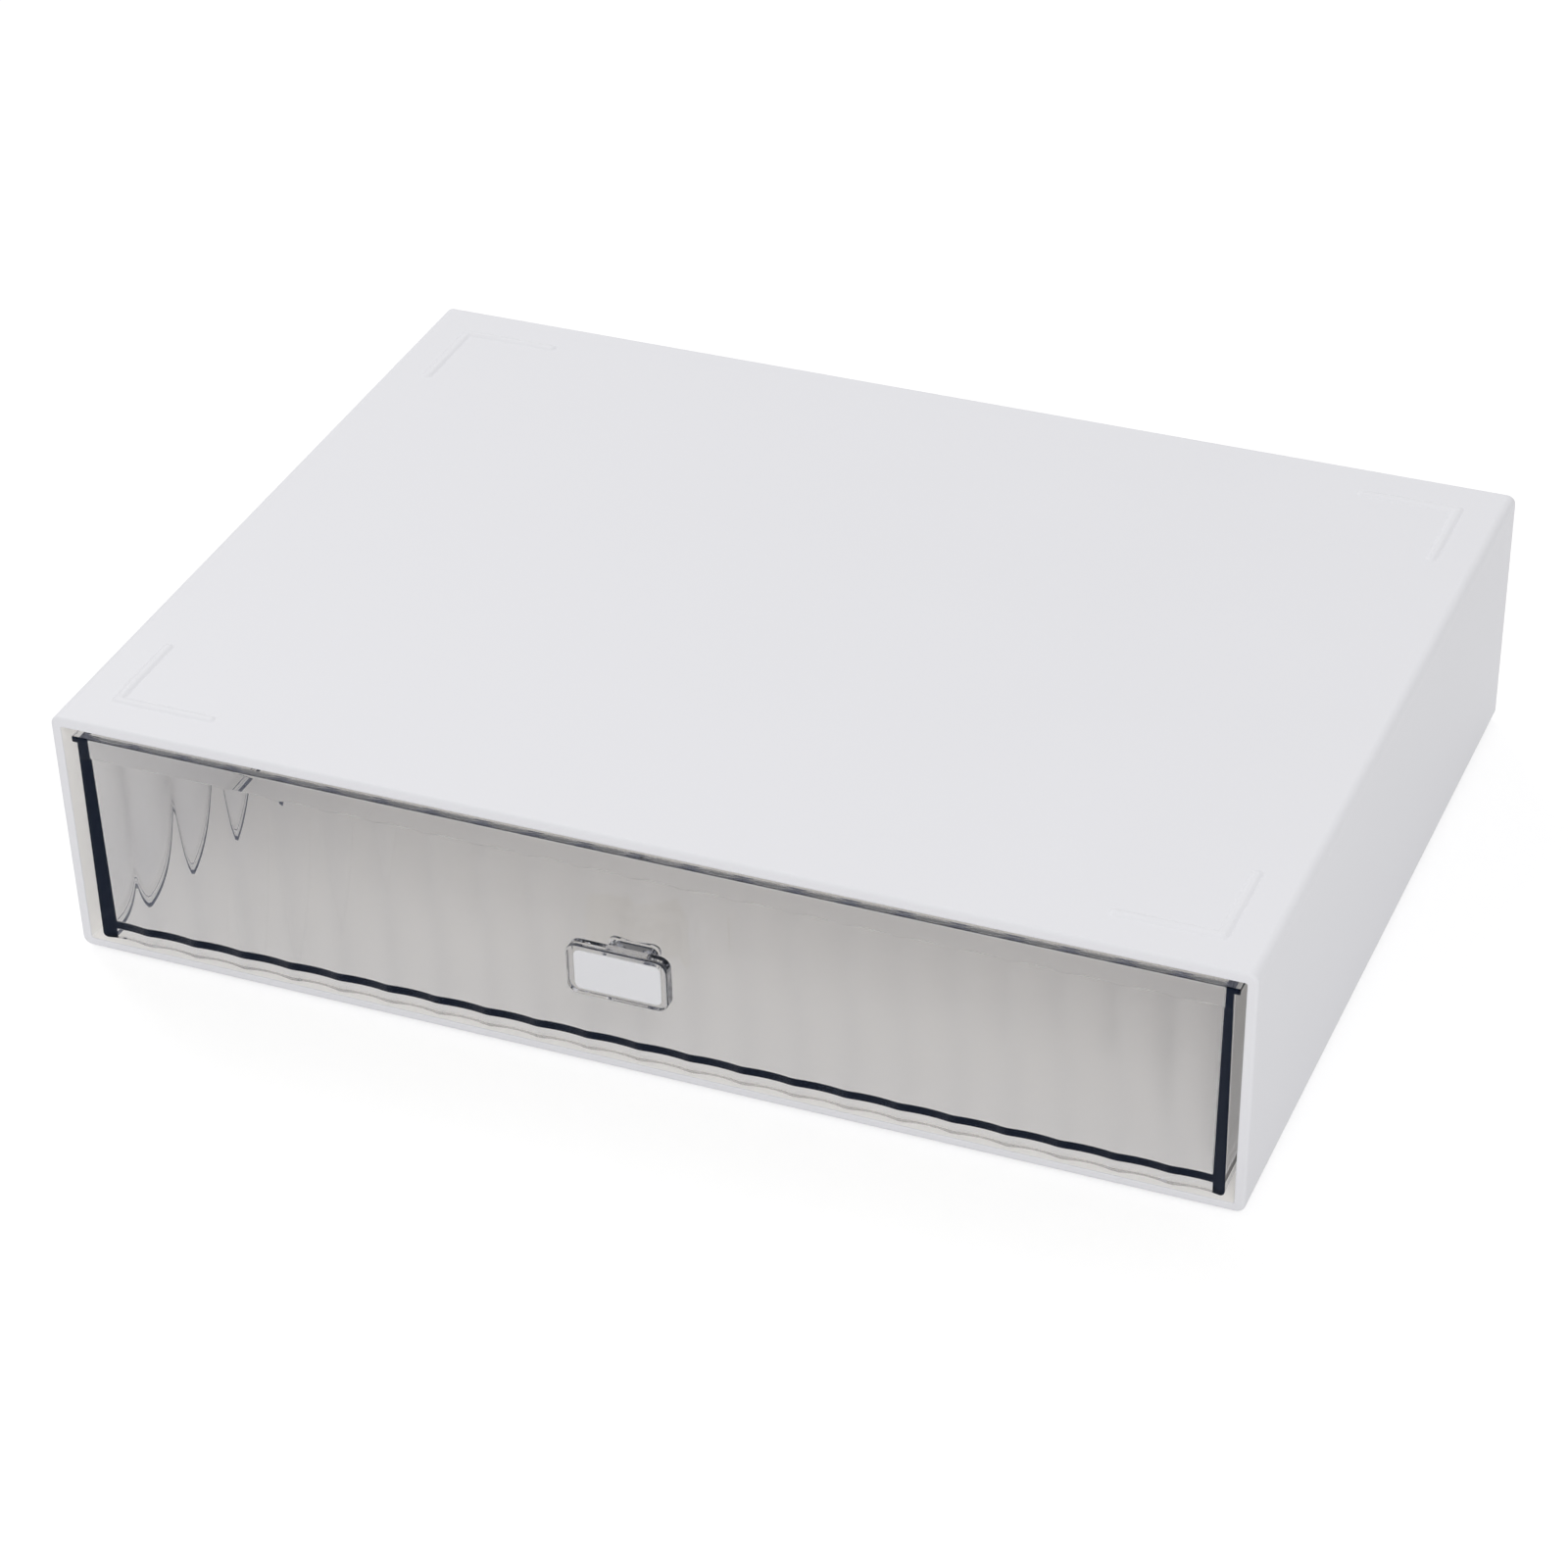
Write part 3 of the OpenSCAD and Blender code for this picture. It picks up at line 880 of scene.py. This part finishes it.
def drawer_tab(look, middle):
    """One tab on the drawer's back, which meets a stop under the roof."""
    tab = block(
        "tab",
        (middle - look.tab_width / 2, TRAY_HIGH.y - look.back, look.rim - PAST),
        (middle + look.tab_width / 2, TRAY_HIGH.y, TRAY_HIGH.z),
    )
    round_edges(tab, both_at(Z, TRAY_HIGH.z), look.edge_round, steps=3)
    return tab


def model_drawer(look, pull):
    """The clear drawer: a tray with runners, a rim flange, two tabs and a fluted front."""
    rim_half = TRAY_HIGH.x - look.flange_out
    tray = drawer_block(look, rim_half)
    combine(tray, drawer_hollow(look, rim_half), "DIFFERENCE")
    for side in SIDES:
        combine(tray, drawer_tab(look, side * look.tab_side), "UNION")
    combine(tray, drawer_pocket(look, rim_half), "DIFFERENCE")
    middle_z = (PULL_LOW.z + PULL_HIGH.z) / 2
    for side in SIDES:
        start = (side * pull.pin_side, TRAY_LOW.y - PAST, middle_z - pull.pin_drop)
        end = (side * pull.pin_side, TRAY_LOW.y + look.panel + PAST, middle_z - pull.pin_drop)
        combine(tray, rod("pin_hole", pull.pin + pull.play, start, end), "DIFFERENCE")
    combine(tray, flute_cutter(look, rim_half, middle_z), "DIFFERENCE")
    return tray


def snap_pin(look, x, height):
    """One pin behind the stem, with a head that narrows towards its end."""
    end = (x, PULL_HIGH.y, height)
    pin = rod("pin", look.pin, (x, TRAY_LOW.y - PAST, height), end, sides=32)
    head = rod("head", look.head, (x, PULL_HIGH.y - look.head_length, height), end, sides=32)
    pick_faces(head, lambda place, normal: normal.y > PARALLEL)
    shrink = look.pin / look.head
    bpy.ops.transform.resize(value=(shrink, 1, shrink), center_override=end)
    close_edit()
    combine(pin, head, "UNION")
    return pin


def card_slot(look, card):
    """What is cut out of the plate from above for the label card."""
    foot = CARD_LOW.z - look.slot_gap
    slot = block(
        "slot",
        (CARD_LOW.x - look.slot_side_gap, CARD_LOW.y - look.slot_gap, foot),
        (CARD_HIGH.x + look.slot_side_gap, CARD_HIGH.y + look.slot_gap, PULL_HIGH.z + PAST),
    )
    round_edges(slot, both(runs_along(Y), both_at(Z, foot)), card.corner, steps=5)
    return slot


def model_pull(look, card):
    """The clear pull: a rounded plate with a card slot, on a stem with two snap pins."""
    middle = (PULL_LOW.z + PULL_HIGH.z) / 2
    plate_back = PULL_LOW.y + look.plate
    plate = rounded_slab(
        "label_pull",
        PULL_LOW,
        (PULL_HIGH.x, plate_back, PULL_HIGH.z),
        look.corner,
        axis=Y,
        steps=8,
    )
    round_edges(plate, both_at(Y, PULL_LOW.y), look.edge_round, steps=5)
    round_edges(plate, both_at(Y, plate_back), look.edge_round / 2, steps=3)
    stem = rounded_slab(
        "stem",
        (-look.stem_width / 2, plate_back - PAST, middle - look.stem_height / 2),
        (look.stem_width / 2, TRAY_LOW.y - 2 * NEAR, middle + look.stem_height / 2),
        look.stem_corner,
        axis=Y,
        steps=5,
    )
    combine(plate, stem, "UNION")
    for side in SIDES:
        combine(plate, snap_pin(look, side * look.pin_side, middle - look.pin_drop), "UNION")
    combine(plate, card_slot(look, card), "DIFFERENCE")
    return plate


def model_card(look):
    """The label card with die-cut corners."""
    card = rounded_slab("paper_card", CARD_LOW, CARD_HIGH, look.corner, axis=Y, steps=8)
    round_edges(card, both_at(Y, CARD_LOW.y), look.edge_round, steps=2)
    round_edges(card, both_at(Y, CARD_HIGH.y), look.edge_round, steps=2)
    return card


def model_pad(look):
    """One round pad with a rounded lower edge and a shallow dish, at the place of the first pad."""
    low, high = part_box(PAD_NODES[0])
    middle = (low + high) / 2
    radius = (high.x - low.x) / 2
    pad = rod("soft_pad", radius, (middle.x, middle.y, low.z), (middle.x, middle.y, high.z), sides=64)
    round_edges(pad, both_at(Z, low.z), look.edge_round, steps=4)
    pick_faces(pad, lambda place, normal: normal.z < -PARALLEL)
    bpy.ops.mesh.inset(thickness=radius * PAD_BORDER, depth=0)
    bpy.ops.mesh.inset(thickness=radius * PAD_SLOPE, depth=-look.dish)
    close_edit()
    return pad


# ---- The studio


def add_floor(look):
    """A plain floor that the pads stand on."""
    bpy.ops.object.select_all(action="DESELECT")
    bpy.ops.mesh.primitive_plane_add(size=FLOOR_SIZE, location=(0, 0, CAD_BOX[0][Z]))
    floor = placed("studio_floor")
    floor.data.materials.append(studio_floor(look))


def add_dome(scene, look):
    """A world that lights evenly and looks white."""
    world = bpy.data.worlds.new("studio_dome")
    scene.world = world
    world.use_nodes = True
    tree = world.node_tree
    dome = tree.nodes["Background"]
    dome.inputs["Color"].default_value = WHITE
    dome.inputs["Strength"].default_value = look.dome
    seen, share = studio_rays(tree, look)
    white = add_node(tree, "ShaderNodeBackground", {"Color": WHITE, "Strength": share}).outputs[0]
    shown = add_node(tree, "ShaderNodeMixShader", {0: seen, 1: dome.outputs[0], 2: white}).outputs[0]
    tree.links.new(shown, tree.nodes["World Output"].inputs["Surface"])


def add_lamp(name, lamp, watts):
    """A soft square lamp that looks at the middle of the box."""
    place, size = lamp
    bpy.ops.object.light_add(type="AREA", location=place)
    light = bpy.context.object
    light.name = name
    light.data.size = size
    light.data.energy = watts
    light.rotation_euler = (-Vector(place)).to_track_quat("-Z", "Y").to_euler()


def add_camera(scene, look):
    """The camera, which looks down at the box from the front right."""
    turn = [math.radians(angle) for angle in CAMERA_TURN]
    bpy.ops.object.camera_add(location=CAMERA_PLACE, rotation=turn)
    camera = bpy.context.object
    camera.name = "studio_camera"
    camera.data.lens = look.lens
    camera.data.sensor_width = SENSOR_WIDTH
    scene.camera = camera


# ---- Operators


class DRAWERBOX_OT_add_case(bpy.types.Operator):
    """Models the white sleeve"""

    bl_idname = "drawerbox.add_case"
    bl_label = "Case"

    def execute(self, context):
        look = context.scene.drawer_box_case
        shell = model_case(look, context.scene.drawer_box_pads)
        finish(shell, "case", "case", white_case_plastic(look))
        return {"FINISHED"}


class DRAWERBOX_OT_add_drawer(bpy.types.Operator):
    """Models the clear drawer"""

    bl_idname = "drawerbox.add_drawer"
    bl_label = "Drawer"

    def execute(self, context):
        look = context.scene.drawer_box_drawer
        tray = model_drawer(look, context.scene.drawer_box_pull)
        finish(tray, "drawer", "drawer", clear_polystyrene("clear_drawer_plastic", look))
        return {"FINISHED"}


class DRAWERBOX_OT_add_pull(bpy.types.Operator):
    """Models the clear pull"""

    bl_idname = "drawerbox.add_pull"
    bl_label = "Label pull"

    def execute(self, context):
        scene = context.scene
        pull = model_pull(scene.drawer_box_pull, scene.drawer_box_card)
        plastic = clear_polystyrene("clear_pull_plastic", scene.drawer_box_drawer)
        finish(pull, "pull", "drawer", plastic)
        return {"FINISHED"}


class DRAWERBOX_OT_add_card(bpy.types.Operator):
    """Models the label card"""

    bl_idname = "drawerbox.add_card"
    bl_label = "Label card"

    def execute(self, context):
        look = context.scene.drawer_box_card
        finish(model_card(look), "label_card", "label", card_paper(look))
        return {"FINISHED"}


class DRAWERBOX_OT_add_pads(bpy.types.Operator):
    """Models the four foot pads"""

    bl_idname = "drawerbox.add_pads"
    bl_label = "Foot pads"

    def execute(self, context):
        look = context.scene.drawer_box_pads
        first = model_pad(look)
        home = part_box(PAD_NODES[0])[0]
        rubber = pad_rubber(look)
        for node in PAD_NODES:
            pad = copy_turned(first, node.replace("foot_pad", "soft_pad"), 0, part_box(node)[0] - home)
            finish(pad, node, "case", rubber)
        bpy.data.objects.remove(first)
        return {"FINISHED"}


class DRAWERBOX_OT_add_studio(bpy.types.Operator):
    """Adds the floor, the light and the camera"""

    bl_idname = "drawerbox.add_studio"
    bl_label = "Studio"

    def execute(self, context):
        scene = context.scene
        look = scene.drawer_box_studio
        add_floor(look)
        add_dome(scene, look)
        add_lamp("front_lamp", FRONT_LAMP, look.key)
        add_lamp("top_lamp", TOP_LAMP, look.fill)
        add_camera(scene, look)
        scene.view_settings.view_transform = "Standard"
        scene.cycles.max_bounces = look.bounces
        scene.cycles.diffuse_bounces = look.bounces // 2
        scene.cycles.glossy_bounces = look.bounces
        scene.cycles.transmission_bounces = look.bounces
        scene.cycles.transparent_max_bounces = look.bounces + SPARE_BOUNCES
        return {"FINISHED"}


class DRAWERBOX_PT_panel(bpy.types.Panel):
    """Lists the pieces of the drawer box"""

    bl_idname = "DRAWERBOX_PT_panel"
    bl_label = "Drawer Box"
    bl_space_type = "VIEW_3D"
    bl_region_type = "UI"
    bl_category = "Drawer Box"

    def draw(self, context):
        for step in STEPS:
            self.layout.operator(step.bl_idname)


LOOKS = {
    "drawer_box_case": CaseLook,
    "drawer_box_drawer": DrawerLook,
    "drawer_box_pull": PullLook,
    "drawer_box_card": CardLook,
    "drawer_box_pads": PadLook,
    "drawer_box_studio": StudioLook,
}
STEPS = (
    DRAWERBOX_OT_add_case,
    DRAWERBOX_OT_add_drawer,
    DRAWERBOX_OT_add_pull,
    DRAWERBOX_OT_add_card,
    DRAWERBOX_OT_add_pads,
    DRAWERBOX_OT_add_studio,
)


def register():
    """Registers the settings, the operators and the panel."""
    for name, look in LOOKS.items():
        bpy.utils.register_class(look)
        setattr(bpy.types.Scene, name, PointerProperty(type=look))
    for step in STEPS:
        bpy.utils.register_class(step)
    bpy.utils.register_class(DRAWERBOX_PT_panel)


def unregister():
    """Removes the panel, the operators and the settings."""
    bpy.utils.unregister_class(DRAWERBOX_PT_panel)
    for step in reversed(STEPS):
        bpy.utils.unregister_class(step)
    for name, look in reversed(LOOKS.items()):
        delattr(bpy.types.Scene, name)
        bpy.utils.unregister_class(look)


def main():
    """Builds every piece and the studio."""
    register()
    bpy.ops.drawerbox.add_case()
    bpy.ops.drawerbox.add_drawer()
    bpy.ops.drawerbox.add_pull()
    bpy.ops.drawerbox.add_card()
    bpy.ops.drawerbox.add_pads()
    bpy.ops.drawerbox.add_studio()


if __name__ == "__main__":
    main()
